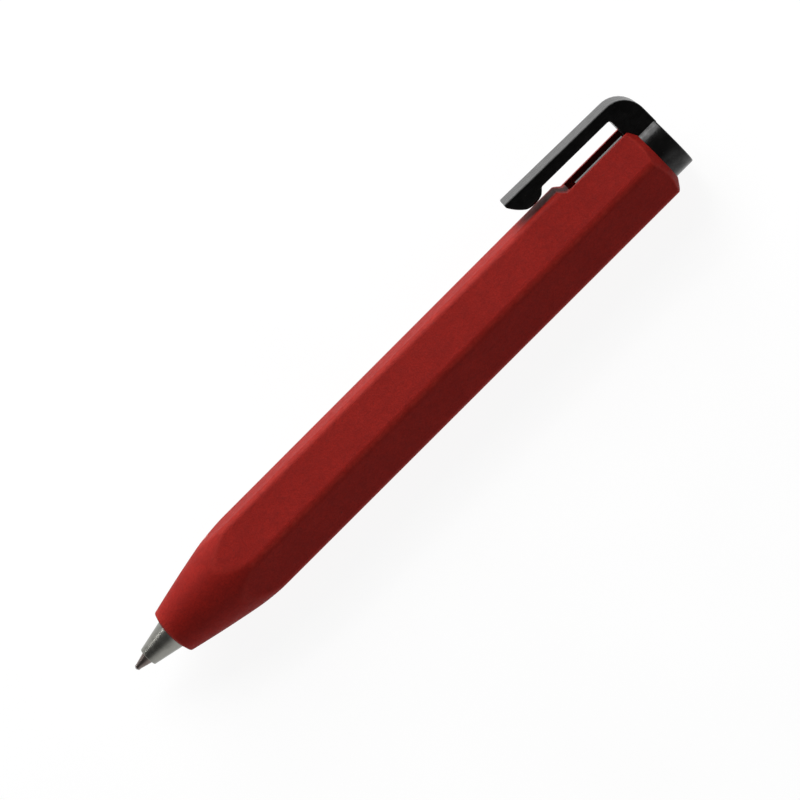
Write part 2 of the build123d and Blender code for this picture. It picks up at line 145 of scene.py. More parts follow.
# ---- Return spring ----
WIRE_RADIUS = 0.16
COIL_RADIUS = 1.5
SPRING_TURNS = 13
CLOSED_TURNS = 1.25  # at each end, where the coils touch
CLOSED_PITCH = 2.04 * WIRE_RADIUS
STEPS_PER_TURN = 36
WIRE_SIDES = 12

# ---- Button and clip ----
CLIP_ANGLE = radians(30)
CLIP_HALF_WIDTH = 3.0
CLIP_THICKNESS = 1.61
CLIP_OUTER_TOP = 9.5
CLIP_OUTER_END = 9.96
CLIP_ARM_START = 100.54
CLIP_CORNER_ROUND = 3.7
CLIP_EDGE_ROUND = 0.22
ARM_FOOT = 3.1
BALL_ARCS = (  # the front and the back of the ball under the clip's free end
    ((82.1, 9.46), (83.35, 7.8), (85.3, 6.5)),
    ((85.3, 6.5), (86.95, 7.4), (87.6, 8.05)),
)
BALL_CROWN_RADIUS = 8.2
BALL_CROWN_LOW = 6.65
ARM_CORNER_ROUND = 0.45  # inside the bend of the clip
BEAD_RADIUS = 1.2
BEAD_LENGTH = 4.4
HINGE = (102.6, 1.7)
NECK_THICKNESS = 1.5
NOTCH_GAP = 0.1
NOTCH_START = 100.25
NOTCH_FLOOR = 2.8
NOTCH_CUT_HEIGHT = 7.0  # anywhere outside the button
SOCKET_STEPS = 32
BUTTON_EDGE_ROUND = 0.25
BUTTON_DOME = 0.1
BUTTON_CORE = (3.2, 3.9, 98.6)  # inner and outer radius, and where it ends
BUTTON_SOCKET = (2.3, 97.82)


# ---- Outlines ----
def place(station, across, height):
    """A point given by its station, its distance towards +Y and its height above the axis."""
    return Vector((TIP_X + station * MM, across * MM, AXIS_Z + height * MM))


def clip_place(station, side, height):
    """A point of the clip. Its height is along the normal of the clip's face, and side is across the clip."""
    across = height * cos(CLIP_ANGLE) - side * sin(CLIP_ANGLE)
    return place(station, across, height * sin(CLIP_ANGLE) + side * cos(CLIP_ANGLE))


def circle_through(first, middle, last):
    """The centre and radius of the circle through three points."""
    (ax, ay), (bx, by), (cx, cy) = first, middle, last
    twice = 2 * (ax * (by - cy) + bx * (cy - ay) + cx * (ay - by))
    a2, b2, c2 = ax * ax + ay * ay, bx * bx + by * by, cx * cx + cy * cy
    x = (a2 * (by - cy) + b2 * (cy - ay) + c2 * (ay - by)) / twice
    y = (a2 * (cx - bx) + b2 * (ax - cx) + c2 * (bx - ax)) / twice
    return (x, y), hypot(ax - x, ay - y)


def arc_points(first, middle, last, steps):
    """Points along the arc through three points, with both ends."""
    (x, y), radius = circle_through(first, middle, last)
    start, end = (atan2(p[1] - y, p[0] - x) for p in (first, last))
    via = atan2(middle[1] - y, middle[0] - x)
    turn = (end - start) % (2 * pi)
    if (via - start) % (2 * pi) > turn:
        turn -= 2 * pi
    angles = [start + turn * i / steps for i in range(steps + 1)]
    return [(x + radius * cos(a), y + radius * sin(a)) for a in angles]


def rounded(corners, steps=6):
    """A closed outline of (x, y, radius) corners, with each corner rounded to its radius."""
    points = []
    for index, (x, y, radius) in enumerate(corners):
        if radius == 0:
            points.append((x, y))
            continue
        here = Vector((x, y))
        before = (Vector(corners[index - 1][:2]) - here).normalized()
        after = (Vector(corners[(index + 1) % len(corners)][:2]) - here).normalized()
        half = before.angle(after) / 2
        middle = here + (before + after).normalized() * (radius / sin(half))
        start, end = (here + way * (radius / tan(half)) - middle for way in (before, after))
        for step in range(steps + 1):
            along = start.lerp(end, step / steps)
            points.append(tuple(middle + along.normalized() * radius))
    return points


def inset(outline, distance):
    """A closed outline moved inwards. The outline runs anticlockwise."""
    moved = []
    for index, point in enumerate(outline):
        here = Vector(point)
        before = (here - Vector(outline[index - 1])).normalized()
        after = (Vector(outline[(index + 1) % len(outline)]) - here).normalized()
        normal = Vector((-before.y - after.y, before.x + after.x)).normalized()
        stretch = max(normal.dot(Vector((-before.y, before.x))), 0.5)
        moved.append(here + normal * (distance / stretch))
    return moved


def smooth_min(a, b, width):
    """The smaller of two values, with the corner between them blended."""
    share = max(width - abs(a - b), 0) / width
    return min(a, b) - share * share * width / 4


def spread(start, end, spacing):
    """Evenly spaced values from start up to, and not including, end."""
    count = max(1, ceil((end - start) / spacing - 1e-6))
    return [start + (end - start) * i / count for i in range(count)]


# ---- Meshes ----
def new_piece(name, mesh_data, smooth_angle=35):
    """A piece from a bmesh, shaded smooth with its sharp edges kept."""
    bmesh.ops.recalc_face_normals(mesh_data, faces=mesh_data.faces)
    mesh = bpy.data.meshes.new(name)
    mesh_data.to_mesh(mesh)
    mesh_data.free()
    piece = bpy.data.objects.new(name, mesh)
    bpy.context.scene.collection.objects.link(piece)
    shade(piece, smooth_angle)
    return piece


def shade(piece, smooth_angle=35):
    """Shades a piece smooth, apart from edges sharper than an angle in degrees."""
    piece.data.polygons.foreach_set("use_smooth", [True] * len(piece.data.polygons))
    piece.data.set_sharp_from_angle(angle=radians(smooth_angle))


def join_rings(mesh_data, rings, closed):
    """Faces between successive rings of vertices. A ring of one vertex is a pole."""
    pairs = list(zip(rings, rings[1:]))
    if closed:
        pairs.append((rings[-1], rings[0]))
    for first, second in pairs:
        count = max(len(first), len(second))
        for i in range(count):
            j = (i + 1) % count
            corners = [first[i % len(first)], first[j % len(first)]]
            corners += [second[j % len(second)], second[i % len(second)]]
            distinct = list(dict.fromkeys(corners))
            if len(distinct) > 2:
                mesh_data.faces.new(distinct)


def turned(name, path, angles, closed=True, shape=None):
    """A piece wrapped round the axis along a path of (station, radius) points.
    Where shape is given, it gives the radius at a station, radius and angle."""
    mesh_data = bmesh.new()
    rings = []
    for station, radius in path:
        if radius == 0:
            rings.append([mesh_data.verts.new(place(station, 0, 0))])
            continue
        ring = []
        for angle in angles:
            here = shape(station, radius, angle) if shape else radius
            ring.append(mesh_data.verts.new(place(station, here * cos(angle), here * sin(angle))))
        rings.append(ring)
    join_rings(mesh_data, rings, closed)
    return new_piece(name, mesh_data)


def even_angles(count):
    """Angles evenly spaced round a full turn."""
    return [2 * pi * i / count for i in range(count)]


def cut(piece, cutter, operation="DIFFERENCE"):
    """Cuts the cutter out of a piece, or joins it on, and removes the cutter."""
    modifier = piece.modifiers.new("cut", "BOOLEAN")
    modifier.operation = operation
    modifier.solver = "EXACT"
    modifier.object = cutter
    bpy.context.view_layer.update()
    graph = bpy.context.evaluated_depsgraph_get()
    result = bpy.data.meshes.new_from_object(piece.evaluated_get(graph))
    piece.modifiers.clear()
    before = piece.data
    piece.data = result
    bpy.data.meshes.remove(before)
    bpy.data.objects.remove(cutter)
    shade(piece)
    return piece


def block(name, corners, half_width):
    """A straight block: a closed outline of (station, height) points, as wide as the clip's face says."""
    mesh_data = bmesh.new()
    rings = []
    for side in (-half_width, half_width):
        rings.append([mesh_data.verts.new(clip_place(x, side, y)) for x, y in corners])
    join_rings(mesh_data, rings, closed=False)
    for ring in rings:
        mesh_data.faces.new(ring)
    return new_piece(name, mesh_data)


# ---- Barrel shape ----
HALF_SECTOR = radians(30)
CORNER_CENTRE = (FACE_HEIGHT - LONG_EDGE_ROUND) / cos(HALF_SECTOR)
CORNER_TANGENT = atan((FACE_HEIGHT - LONG_EDGE_ROUND) * tan(HALF_SECTOR) / FACE_HEIGHT)
NOSE_CENTRE, NOSE_ROUND = circle_through(*NOSE_ARC)


def from_flat(angle):
    """How far an angle is from the middle of the nearest flat."""
    return abs((angle - HALF_SECTOR + pi / 6) % (pi / 3) - pi / 6)


def hexagon_radius(angle):
    """The radius of the rounded hexagon at an angle."""
    away = from_flat(angle)
    if away < CORNER_TANGENT:
        return FACE_HEIGHT / cos(away)
    to_corner = HALF_SECTOR - away
    return CORNER_CENTRE * cos(to_corner) + sqrt(LONG_EDGE_ROUND**2 - (CORNER_CENTRE * sin(to_corner)) ** 2)


def nose_radius(station):
    """The radius of the turned nose at a station. Past the nose it grows slowly, outside the hexagon."""
    end_station, end_radius = NOSE_ARC[2]
    if station >= end_station:
        return end_radius + (station - end_station) * 0.1
    return NOSE_CENTRE[1] + sqrt(NOSE_ROUND**2 - (station - NOSE_CENTRE[0]) ** 2)


def top_radius(station):
    """The radius of the chamfer at the barrel's top."""
    return TOP_CHAMFER_RADIUS + (BARREL_TOP - station) / tan(radians(TOP_CHAMFER_ANGLE))


def recess_radius(station, angle):
    """The radius of the recess under the clip, or the pen's length on the sides where there is none."""
    away = abs((angle - CLIP_ANGLE + pi) % (2 * pi) - pi)
    floor = -smooth_min(-(FACE_HEIGHT - (station - RECESS_START)), -RECESS_FLOOR, RECESS_BLEND)
    if cos(away) < RECESS_REACH:
        return PEN_LENGTH
    return floor / cos(away)


def barrel_radius(station, radius, angle):
    """The barrel's outer surface. Rings with a given radius are inside the barrel or on its mouth."""
    if radius is not None:
        return radius
    here = smooth_min(hexagon_radius(angle), nose_radius(station), NOSE_BLEND)
    here = smooth_min(here, recess_radius(station, angle), RECESS_BLEND)
    return smooth_min(here, top_radius(station), TOP_BLEND)


def barrel_angles():
    """Angles round the barrel, closer together at the long edges and at the sides of the recess."""
    close = radians(0.6)
    coarse = radians(2.0)
    finest = radians(0.35)
    edge = radians(6.6)
    beside_recess = radians(2.5)
    least = radians(0.2)
    recess_side = atan((FACE_HEIGHT - RECESS_FLOOR * cos(pi / 3)) / (RECESS_FLOOR * sin(pi / 3)))
    angles = []
    for corner in range(6):
        middle = corner * pi / 3
        angles += spread(middle - edge, middle + edge, close)
        angles += spread(middle + edge, middle + pi / 3 - edge, coarse)
    for side in (-1, 1):
        middle = CLIP_ANGLE + side * recess_side
        angles += spread(middle - beside_recess, middle + beside_recess, finest)
    angles = sorted(a % (2 * pi) for a in angles)
    kept = [angles[0]]
    for angle in angles[1:]:
        if angle - kept[-1] > least:
            kept.append(angle)
    return kept


def barrel_path():
    """The barrel's rings, from its mouth along the outside, and back along its bores.
    Rings are close together where the outside curves or steps."""
    lip_station, lip_radius = NOSE_ARC[0]
    past_lip = lip_station + 1.2
    mouth = rounded([
        (BARREL_FRONT, MOUTH_RADIUS, 0.06),
        (lip_station, lip_radius, LIP_ROUND),
        (past_lip, nose_radius(past_lip), 0),
        (past_lip, MOUTH_RADIUS, 0),
    ])[:-1]
    step_start, step_end = RECESS_START - 0.3, RECESS_START + 1.4
    chamfer_start, chamfer_end = BARREL_TOP - 2.0, BARREL_TOP - 0.04
    outside = spread(past_lip, NOSE_END, 0.25)[1:]
    outside += spread(NOSE_END, step_start, 2.5)
    outside += spread(step_start, step_end, 0.05)
    outside += spread(step_end, chamfer_start, 1.0)
    outside += spread(chamfer_start, chamfer_end, 0.05)
    path = mouth + [(station, None) for station in outside]
    path += [(BARREL_TOP - 0.02, TOP_CHAMFER_RADIUS), (BARREL_TOP, TOP_CHAMFER_RADIUS - 0.03)]
    path += [(BARREL_TOP, MECHANISM_BORE_RADIUS + 0.03), (BARREL_TOP - 0.03, MECHANISM_BORE_RADIUS)]
    for station, wide, narrow in BORES:
        path += [(station, wide), (station, narrow)]
    return path


def mark_edges(piece):
    """Stores how worn each point is: 1 on the barrel's outer edges, and 0 on its flats and inside."""
    values = []
    for vertex in piece.data.vertices:
        station = (vertex.co.x - TIP_X) / MM
        across, height = vertex.co.y / MM, (vertex.co.z - AXIS_Z) / MM
        angle, radius = atan2(height, across), hypot(across, height)
        hexagon, nose, top = hexagon_radius(angle), nose_radius(station), top_radius(station)
        outer = min(hexagon, nose, top, recess_radius(station, angle))
        corner = exp(-(((HALF_SECTOR - from_flat(angle)) / CORNER_WEAR) ** 2)) * (hexagon - 0.1 < outer)
        shoulder = 0.6 * exp(-(((hexagon - nose) / 0.12) ** 2))
        crown = exp(-(((min(hexagon, nose) - top) / 0.2) ** 2))
        lip = exp(-(((station - NOSE_ARC[0][0]) / 0.3) ** 2))
        worn = max(corner, shoulder, crown, lip) * (radius > outer - 0.3)
        values.append(worn)
    attribute = piece.data.attributes.new("edge", "FLOAT", "POINT")
    attribute.data.foreach_set("value", values)


def make_barrel():
    """The barrel with its bores, its recess and the slot under the clip."""
    barrel = turned("barrel_body", barrel_path(), barrel_angles(), shape=barrel_radius)
    slot = [
        (SLOT_START, FACE_HEIGHT / 2),
        (PEN_LENGTH, FACE_HEIGHT / 2),
        (PEN_LENGTH, SLOT_CUT_HEIGHT),
        (SLOT_START, SLOT_CUT_HEIGHT),
    ]
    cut(barrel, block("slot_cutter", slot, SLOT_WIDTH / 2))
    mark_edges(barrel)
    return barrel


# ---- Metal point ----
def make_nose_cone():
    """The turned cone with its bore, its shoulder for the spring and its threaded shank."""
    path = rounded([
        (NOSE_FRONT, NOSE_BORE_RADIUS, 0.04),
        (NOSE_FRONT, NOSE_FRONT_RADIUS, 0.12),
        (BARREL_FRONT, NOSE_BASE_RADIUS, 0.3),
        (NOSE_SHANK_START, NOSE_BASE_RADIUS, 0.04),
        (NOSE_SHANK_START, NOSE_SHANK_RADIUS, 0.03),
        (THREAD_START, NOSE_SHANK_RADIUS, 0),
    ])
    threaded = spread(THREAD_START, THREAD_END, THREAD_PITCH / THREAD_STEPS)[1:]
    path += [(station, NOSE_SHANK_RADIUS) for station in threaded]
    path += rounded([
        (THREAD_END, NOSE_SHANK_RADIUS, 0),
        (NOSE_SHANK_END, NOSE_SHANK_RADIUS, 0.12),
        (NOSE_SHANK_END, NOSE_SPRING_BORE_RADIUS, 0.06),
        (NOSE_SHOULDER, NOSE_SPRING_BORE_RADIUS, 0.1),
        (NOSE_SHOULDER, NOSE_BORE_RADIUS, 0.03),
    ])
    return turned("nose_cone_turned", path, even_angles(120), shape=thread)


def thread(station, radius, angle):
    """Cuts a helical groove into the nose cone's shank."""
    if radius != NOSE_SHANK_RADIUS or not THREAD_START < station < THREAD_END:
        return radius
    fade = min(1, (station - THREAD_START) / THREAD_PITCH, (THREAD_END - station) / THREAD_PITCH)
    wave = abs(((station / THREAD_PITCH - angle / (2 * pi)) % 1) - 0.5) * 2
    return radius - THREAD_DEPTH * fade * wave


def make_refill_tip():
    """The point of the refill: a cone with a rolled lip round the ball, a shoulder and a tail in the tube."""
    seat = TIP_START + 0.06
    path = rounded([
        (seat, 0, 0),
        (seat, TIP_LIP_RADIUS - 0.06, 0),
        (TIP_START, TIP_LIP_RADIUS - 0.035, 0.015),
        (TIP_START + 0.04, TIP_LIP_RADIUS, 0.02),
        (TIP_START + 0.42, TIP_LIP_RADIUS + 0.05, 0.2),
        (TIP_CONE_END - 0.06, TIP_CONE_RADIUS, 0.05),
        (TIP_CONE_END, TIP_STEP_RADIUS, 0.04),
        (TIP_STEP_END, TIP_STEP_RADIUS, 0.03),
        (TIP_STEP_END, TIP_TAIL_RADIUS, 0.02),
        (TIP_END, TIP_TAIL_RADIUS, 0.06),
        (TIP_END, 0, 0),
    ])
    return turned("refill_point", path, even_angles(72), closed=False)


def make_spring():
    """The return spring: round wire with closed ends, from the nose cone's shoulder to the refill's ears."""
    turns = SPRING_TURNS + 2 * CLOSED_TURNS
    first = SPRING_START + WIRE_RADIUS
    length = SPRING_END - SPRING_START - 2 * WIRE_RADIUS
    open_pitch = (length - 2 * CLOSED_TURNS * CLOSED_PITCH) / SPRING_TURNS
    mesh_data = bmesh.new()
    rings = []
    for step in range(int(turns * STEPS_PER_TURN) + 1):
        turn = step / STEPS_PER_TURN
        closed = min(turn, CLOSED_TURNS) + max(0, turn - CLOSED_TURNS - SPRING_TURNS)
        opened = min(max(turn - CLOSED_TURNS, 0), SPRING_TURNS)
        station = first + closed * CLOSED_PITCH + opened * open_pitch
        angle = 2 * pi * turn
        ring = []
        for around in even_angles(WIRE_SIDES):
            radius = COIL_RADIUS + WIRE_RADIUS * cos(around)
            along = station + WIRE_RADIUS * sin(around)
            ring.append(mesh_data.verts.new(place(along, radius * cos(angle), radius * sin(angle))))
        rings.append(ring)
    join_rings(mesh_data, rings, closed=False)
    for ring in (rings[0], rings[-1]):
        mesh_data.faces.new(ring)
    return new_piece("return_spring_coil", mesh_data, smooth_angle=50)


# ---- Button ----
def make_button():
    """The cap at the pen's top, with the notch for the clip's arm and the socket for its bead."""
    boss, skirt, core_end = BUTTON_CORE
    socket, socket_end = BUTTON_SOCKET
    edge = BUTTON_END - BUTTON_DOME
    flat_radius = BUTTON_RADIUS - BUTTON_EDGE_ROUND
    halfway = (BUTTON_END - BUTTON_DOME / 4, flat_radius / 2)
    dome = arc_points((edge, flat_radius), halfway, (BUTTON_END, 0), 16)
    path = rounded([
        (socket_end, 0, 0),
        (socket_end, socket, 0.1),
        (BUTTON_START, socket, 0.05),
        (BUTTON_START, boss, 0.05),
        (core_end, boss, 0.1),
        (core_end, skirt, 0.1),
        (BUTTON_START, skirt, 0.05),
        (BUTTON_START, BUTTON_RADIUS, 0.12),
        (edge, BUTTON_RADIUS, BUTTON_EDGE_ROUND),
    ] + [(station, radius, 0) for station, radius in dome[1:-1]] + [(BUTTON_END, 0, 0)], steps=8)
    button = turned("button_cap", path, even_angles(180), closed=False)
    side = CLIP_HALF_WIDTH + NOTCH_GAP
    past_end = BUTTON_END + 1
    notch = [
        (NOTCH_START, NOTCH_FLOOR),
        (past_end, NOTCH_FLOOR),
        (past_end, NOTCH_CUT_HEIGHT),
        (NOTCH_START, NOTCH_CUT_HEIGHT),
    ]
    cut(button, block("notch_cutter", notch, side))
    x, y = HINGE
    bore = BEAD_RADIUS + NOTCH_GAP
    neck = NECK_THICKNESS / 2 + 3 * NOTCH_GAP
    lift = sqrt(bore * bore - neck * neck)
    start = atan2(lift, neck)
    turn = 2 * pi - (pi - 2 * start)
    mouth_height = NOTCH_FLOOR + 0.5
    socket_outline = [(x + neck, mouth_height)]
    for step in range(SOCKET_STEPS + 1):
        angle = start - turn * step / SOCKET_STEPS
        socket_outline.append((x + bore * cos(angle), y + bore * sin(angle)))
    socket_outline.append((x - neck, mouth_height))
    cut(button, block("socket_cutter", socket_outline, BEAD_LENGTH / 2 + NOTCH_GAP))
    return button


# ---- Clip ----
def crown(side):
    """The lowest height of the ball's underside, at a distance to one side of the clip's middle."""
    return BALL_CROWN_LOW + BALL_CROWN_RADIUS - sqrt(BALL_CROWN_RADIUS**2 - side * side)


def clip_outline():
    """The clip from the side, as (station, height) points, anticlockwise."""
    inner_top = CLIP_OUTER_TOP - CLIP_THICKNESS
    front, back = BALL_ARCS
    inner_end = back[2][1]
    outline = rounded([
        (CLIP_ARM_START, ARM_FOOT, 0.25),
        (CLIP_END, ARM_FOOT, 0.25),
        (CLIP_END, CLIP_OUTER_TOP, CLIP_CORNER_ROUND),
        (CLIP_START, CLIP_OUTER_END, 0.24),
        (front[0][0], front[0][1], 0),
    ], steps=10)
    outline += arc_points(*front, 24)[1:] + arc_points(*back, 16)[1:-1]
    ball_end = back[2][0]
    outline += [(ball_end + 0.02, inner_end - 0.03), (ball_end + 0.2, inner_end)]
    length = CLIP_ARM_START - ball_end
    outline += [(ball_end + length * i / 6, inner_end + (inner_top - inner_end) * i / 6) for i in range(1, 6)]
    for turn in range(0, 91, 15):
        along = CLIP_ARM_START - ARM_CORNER_ROUND + ARM_CORNER_ROUND * sin(radians(turn))
        outline.append((along, inner_top - ARM_CORNER_ROUND * (1 - cos(radians(turn)))))
    return outline


def make_clip():
    """The clip in one moulding: arm, strip and crowned ball, with the bead that it hinges on."""
    outline = clip_outline()
    ball_end, ball_top = BALL_ARCS[1][2]
    flat = CLIP_HALF_WIDTH - CLIP_EDGE_ROUND
    across = [(-flat + 2 * flat * i / 16, 0) for i in range(17)]
    edge = []
    for step in range(1, 6):
        turn = radians(90 * step / 5)
        edge.append((flat + CLIP_EDGE_ROUND * sin(turn), CLIP_EDGE_ROUND * (1 - cos(turn))))
    sides = [(-side, depth) for side, depth in reversed(edge)] + across + edge
    mesh_data = bmesh.new()
    rings = []
    for side, depth in sides:
        ring = []
        for station, height in inset(outline, depth):
            if station < ball_end and height < ball_top:
                height = -smooth_min(-height, -crown(side) - depth, 0.25)
            ring.append(mesh_data.verts.new(clip_place(station, side, height)))
        rings.append(ring)
    join_rings(mesh_data, rings, closed=False)
    for ring in (rings[0], rings[-1]):
        mesh_data.faces.new(ring)
    clip = new_piece("clip_moulding", mesh_data)
    x, y = HINGE
    bead = [(x + BEAD_RADIUS * cos(a), y + BEAD_RADIUS * sin(a)) for a in even_angles(32)]
    cut(clip, block("bead", bead, BEAD_LENGTH / 2), "UNION")
    half = NECK_THICKNESS / 2
    neck = [(x - half, y), (x + half, y), (x + half, ARM_FOOT + 0.3), (x - half, ARM_FOOT + 0.3)]
    cut(clip, block("neck", neck, BEAD_LENGTH / 2 - 0.05), "UNION")
    return clip


# ---- Materials ----
def set_range(node, low, high, to_low, to_high):
    """Sets the two ranges of a Map Range node."""
    for socket, number in zip(("From Min", "From Max", "To Min", "To Max"), (low, high, to_low, to_high)):
        node.inputs[socket].default_value = number


class Finish:
    """A material being made: its shader, and short ways to add textures to it."""

    def __init__(self, name, **settings):
        self.material = bpy.data.materials.new(name)
        self.material.use_nodes = True
        self.tree = self.material.node_tree
        self.shader = self.tree.nodes["Principled BSDF"]
        for socket, value in settings.items():
            self.shader.inputs[socket.replace("_", " ")].default_value = value
        self.place = self.tree.nodes.new("ShaderNodeTexCoord").outputs["Object"]

    def node(self, kind, **inputs):
        """A new node, with its sockets set or linked."""
        made = self.tree.nodes.new("ShaderNode" + kind)
        for socket, value in inputs.items():
            self.feed(made.inputs[socket.replace("_", " ")], value)
        return made

    def feed(self, socket, value):
        """Sets a socket to a value, or links an output to it."""
        if isinstance(value, bpy.types.NodeSocket):
            self.tree.links.new(value, socket)
        else:
            socket.default_value = value

    def stretched(self, x, y, z):
        """The place on the piece, scaled differently along each axis."""
        mapping = self.node("Mapping", Vector=self.place, Scale=(x, y, z))
        return mapping.outputs["Vector"]

    def noise(self, size, detail=3.0, roughness=0.55, place=None):
        """Noise with features of about a size in metres. Where a stretched place is given, size is 1."""
        where = place or self.place
        made = self.node("TexNoise", Vector=where, Scale=1 / size, Detail=detail, Roughness=roughness)
        return made.outputs["Fac"]

    def remap(self, value, low, high, to_low=0.0, to_high=1.0):
        """A value moved from one range to another, and kept within it."""
        made = self.node("MapRange", Value=value)
        set_range(made, low, high, to_low, to_high)
        return made.outputs["Result"]

    def multiply(self, a, b):
        """The product of two values."""
        made = self.tree.nodes.new("ShaderNodeMath")
        made.operation = "MULTIPLY"
        self.feed(made.inputs[0], a)
        self.feed(made.inputs[1], b)
        return made.outputs["Value"]

    def mix(self, share, first, second):
        """A colour between two colours."""
        made = self.tree.nodes.new("ShaderNodeMix")
        made.data_type = "RGBA"
        self.feed(made.inputs[0], share)
        self.feed(made.inputs[6], first)
        self.feed(made.inputs[7], second)
        return made.outputs[2]

    def bump(self, height, distance, strength=1.0, under=None):
        """A bumped normal, laid over another bumped normal if there is one."""
        made = self.node("Bump", Height=height, Distance=distance, Strength=strength)
        if under is not None:
            self.tree.links.new(under, made.inputs["Normal"])
        return made.outputs["Normal"]

    def attribute(self, name):
        """A value stored on the mesh."""
        made = self.tree.nodes.new("ShaderNodeAttribute")
        made.attribute_name = name
        return made.outputs["Fac"]

    def distance(self, point):
        """The distance from a point, in metres."""
        made = self.tree.nodes.new("ShaderNodeVectorMath")
        made.operation = "DISTANCE"
        self.feed(made.inputs[0], self.place)
        made.inputs[1].default_value = point
        return made.outputs["Value"]

    def finish(self, colour=None, roughness=None, normal=None):
        """Links the results to the shader, and returns the material."""
        for socket, value in (("Base Color", colour), ("Roughness", roughness), ("Normal", normal)):
            if value is not None:
                self.tree.links.new(value, self.shader.inputs[socket])
        return self.material


def barrel_plastic():
    """Matt red plastic with a fine grain, paler where its edges are worn, and one scuff near the nose."""
    f = Finish("barrel_plastic", IOR=1.48, Specular_IOR_Level=0.05)
    cloud = f.remap(f.noise(0.006, 2.0), 0.3, 0.7)
    mottle = f.noise(0.0015, 3.0, 0.6)
    grain = f.noise(0.00028, 3.0, 0.6)
    colour = f.mix(cloud, (0.205, 0.0094, 0.0066, 1), (0.24, 0.0117, 0.0082, 1))
    colour = f.mix(f.remap(mottle, 0.42, 0.62, 0.0, 0.45), colour, (0.16, 0.0082, 0.0066, 1))
    colour = f.mix(f.remap(grain, 0.42, 0.7, 0.0, 0.6), colour, (0.14, 0.0068, 0.0056, 1))
    speck = f.remap(f.noise(0.0004, 2.0, 0.5), 0.735, 0.76)
    colour = f.mix(f.multiply(speck, 0.6), colour, (0.03, 0.012, 0.011, 1))
    worn = f.multiply(f.attribute("edge"), f.remap(f.noise(0.0011, 4.0, 0.7), 0.35, 0.7, 0.1, 0.6))
    colour = f.mix(worn, colour, (0.3, 0.027, 0.019, 1))
    scuff_at = place(20.2, 6.2, 2.3)
    near = f.remap(f.distance(scuff_at), 0.0002, 0.0022, 1.0, 0.0)
    scuff = f.remap(f.multiply(near, f.noise(0.0006, 5.0, 0.75)), 0.36, 0.5, 0.0, 0.75)
    colour = f.mix(scuff, colour, (0.62, 0.36, 0.33, 1))
    roughness = f.remap(f.noise(0.0009, 4.0), 0.3, 0.7, 0.52, 0.66)
    normal = f.bump(grain, 0.00004, 0.8)
    normal = f.bump(mottle, 0.00008, 0.5, normal)
    return f.finish(colour, roughness, normal)


def black_gloss(name, shine, rough):
    """Glossy black plastic with faint scratches along it, patches that shine less, and a little dust."""
    f = Finish(name, IOR=1.5)
    streaks = f.noise(1.0, 4.0, 0.6, f.stretched(900, 9000, 9000))
    dust = f.remap(f.noise(0.00045, 3.0, 0.6), 0.66, 0.74)
    cloud = f.remap(f.noise(0.004), 0.3, 0.7)
    colour = f.mix(cloud, (0.0018, 0.0017, 0.0016, 1), (0.0032, 0.003, 0.0028, 1))
    colour = f.mix(f.multiply(dust, 0.5), colour, (0.03, 0.026, 0.024, 1))
    patches = f.remap(f.noise(0.0013, 4.0, 0.7), 0.35, 0.65, 0.55 * shine, 1.15 * shine)
    f.tree.links.new(patches, f.shader.inputs["Specular IOR Level"])
    roughness = f.remap(streaks, 0.35, 0.7, rough, rough + 0.09)
    return f.finish(colour, roughness, f.bump(streaks, 0.000004, 0.4))


def turned_metal(name, dark, light, rough, ring_size=0.00006):
    """Turned metal: fine rings round the axis, and a faint smear of handling."""
    f = Finish(name, Metallic=1.0)
    rings = f.noise(1.0, 3.0, 0.6, f.stretched(1 / ring_size, 60, 60))
    smear = f.noise(0.0016, 4.0, 0.6)
    colour = f.mix(f.remap(smear, 0.3, 0.7), dark, light)
    colour = f.mix(f.remap(rings, 0.5, 0.75, 0.0, 0.35), colour, tuple(0.6 * c for c in dark[:3]) + (1,))
    roughness = f.remap(smear, 0.3, 0.7, rough - 0.05, rough + 0.06)
    return f.finish(colour, roughness, f.bump(rings, 0.000004, 0.6))


def spring_wire():
    """Drawn steel wire with fine marks."""
    f = Finish("spring_wire", Metallic=1.0)
    marks = f.noise(0.0002, 4.0, 0.65)
    colour = f.mix(f.remap(marks, 0.3, 0.7), (0.36, 0.35, 0.34, 1), (0.56, 0.55, 0.53, 1))
    return f.finish(colour, f.remap(marks, 0.3, 0.7, 0.22, 0.36), f.bump(marks, 0.000004, 0.5))


def moulded(name, dark, light, rough):
    """Moulded engineering plastic: a soft cloud of tone and a fine grain."""
    f = Finish(name, IOR=1.48)
    grain = f.noise(0.00025, 3.0)
    colour = f.mix(f.remap(f.noise(0.003), 0.3, 0.7), dark, light)
    colour = f.mix(f.remap(grain, 0.5, 0.8, 0.0, 0.3), colour, dark)
    roughness = f.remap(grain, 0.3, 0.7, rough - 0.06, rough + 0.06)
    return f.finish(colour, roughness, f.bump(grain, 0.00001, 0.4))


def fluid(name, dark, light, rough):
    """Ink or grease: smooth, with slow swirls."""
    f = Finish(name, IOR=1.45)
    swirl = f.noise(0.0025, 4.0, 0.6)
    colour = f.mix(f.remap(swirl, 0.3, 0.7), dark, light)
    return f.finish(colour, f.remap(swirl, 0.3, 0.7, rough, rough + 0.08), f.bump(swirl, 0.00002, 0.3))


def dress(piece, material):
    """Gives a piece its one material."""
    piece.data.materials.clear()
    piece.data.materials.append(material)


